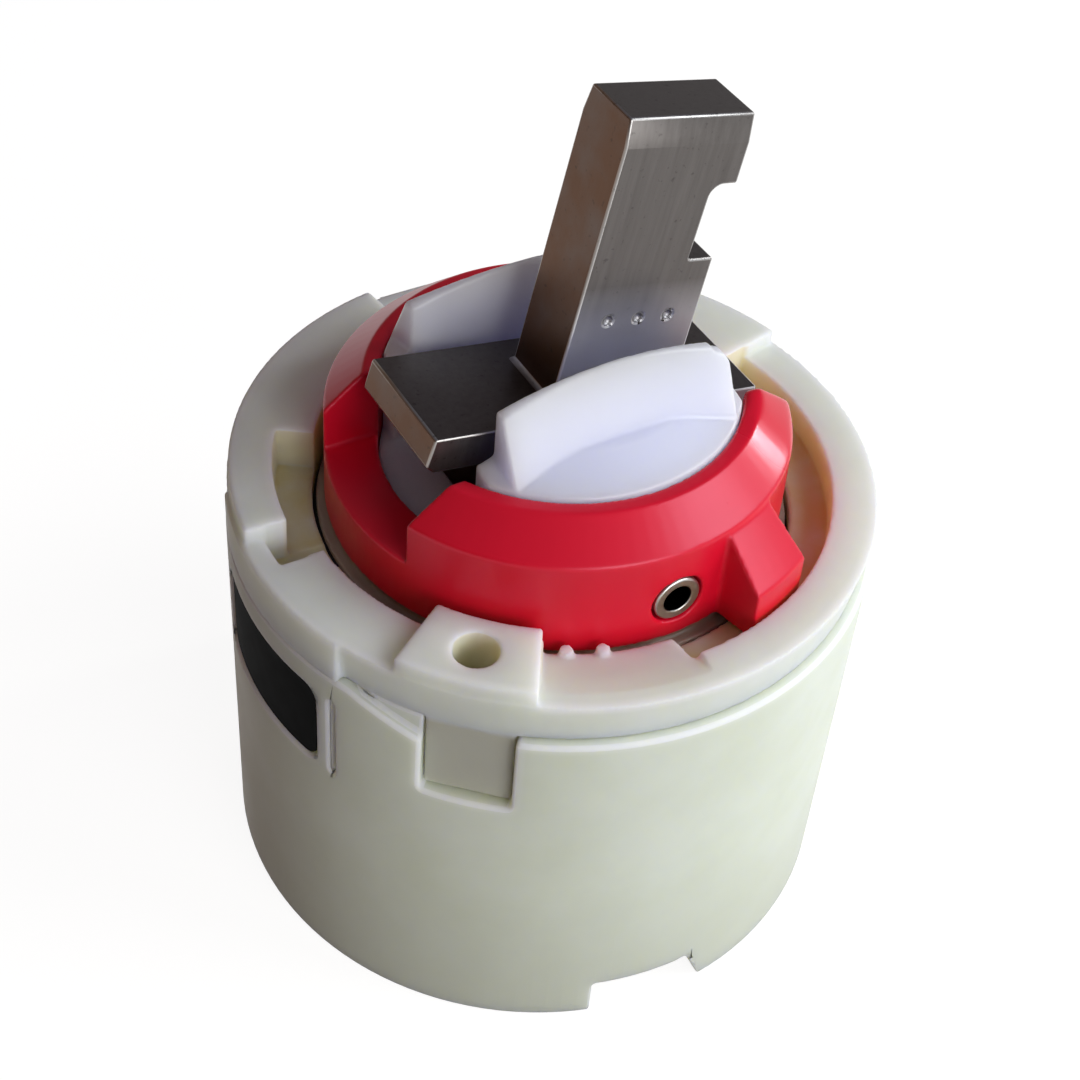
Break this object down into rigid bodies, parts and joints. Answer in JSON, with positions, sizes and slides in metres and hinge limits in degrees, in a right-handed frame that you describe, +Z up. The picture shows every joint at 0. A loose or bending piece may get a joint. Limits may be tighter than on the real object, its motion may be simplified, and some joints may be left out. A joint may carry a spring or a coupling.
{
  "type": "ceramic disc tap cartridge",
  "caption": "Single-lever mixer tap cartridge: ivory cup and collar, red limit ring, white turret, steel lever on a cross pin, and ceramic discs inside.",
  "frame": {"origin": "on the cartridge's axis at the foot of the cup", "axes": "+Z up along the axis the turret turns on, +X the way the lever leans at rest, +Y along the lever's pin"},
  "size_m": [0.048, 0.048, 0.0652],
  "materials": {
    "ivory_nylon": "moulded, slightly translucent",
    "ivory_nylon_collar": "moulded, slightly translucent",
    "black_acetal": "moulded",
    "black_rubber": "moulded",
    "alumina_ceramic": "lapped",
    "white_acetal": "moulded, satin",
    "white_ptfe": "turned",
    "red_acetal": "moulded, glossy",
    "pin_steel": "drawn",
    "sintered_steel": "sintered, tumbled and oiled"
  },
  "bodies": {
    "housing": {"lower_housing": "ivory_nylon", "collar": "ivory_nylon_collar", "latch_ring": "black_acetal", "base_plate": "ivory_nylon", "foot_seal_hot": "black_rubber", "foot_seal_cold": "black_rubber", "foot_seal_outlet": "black_rubber", "disc_seal_hot": "black_rubber", "disc_seal_cold": "black_rubber", "disc_seal_outlet": "black_rubber", "fixed_disc": "alumina_ceramic"},
    "turret": {"lever_holder": "white_acetal", "slide_ring": "white_ptfe", "turret_seal": "black_rubber", "limit_ring": "red_acetal", "lever_pin": "pin_steel"},
    "lever": {"lever": "sintered_steel", "lever_shoe": "white_ptfe"},
    "carrier": {"disc_carrier": "black_acetal", "carrier_seal": "black_rubber", "moving_disc": "alumina_ceramic"}
  },
  "joints": [
    {"name": "turret_turn", "type": "hinge", "parent": "housing", "child": "turret", "pos_m": [0, 0, 0], "axis": [0, 0, 1], "range_deg": [-14, 70]},
    {"name": "lever_tilt", "type": "hinge", "parent": "turret", "child": "lever", "pos_m": [0, 0, 0.03628], "axis": [0, 1, 0], "range_deg": [-22, 2]},
    {"name": "carrier_slide", "type": "slide", "parent": "turret", "child": "carrier", "axis": [1, 0, 0], "range_m": [-0.0007, 0.007]}
  ],
  "couplings": [
    {"joint": "carrier_slide", "follows": "lever_tilt", "m_per_rad": -0.01783}
  ]
}
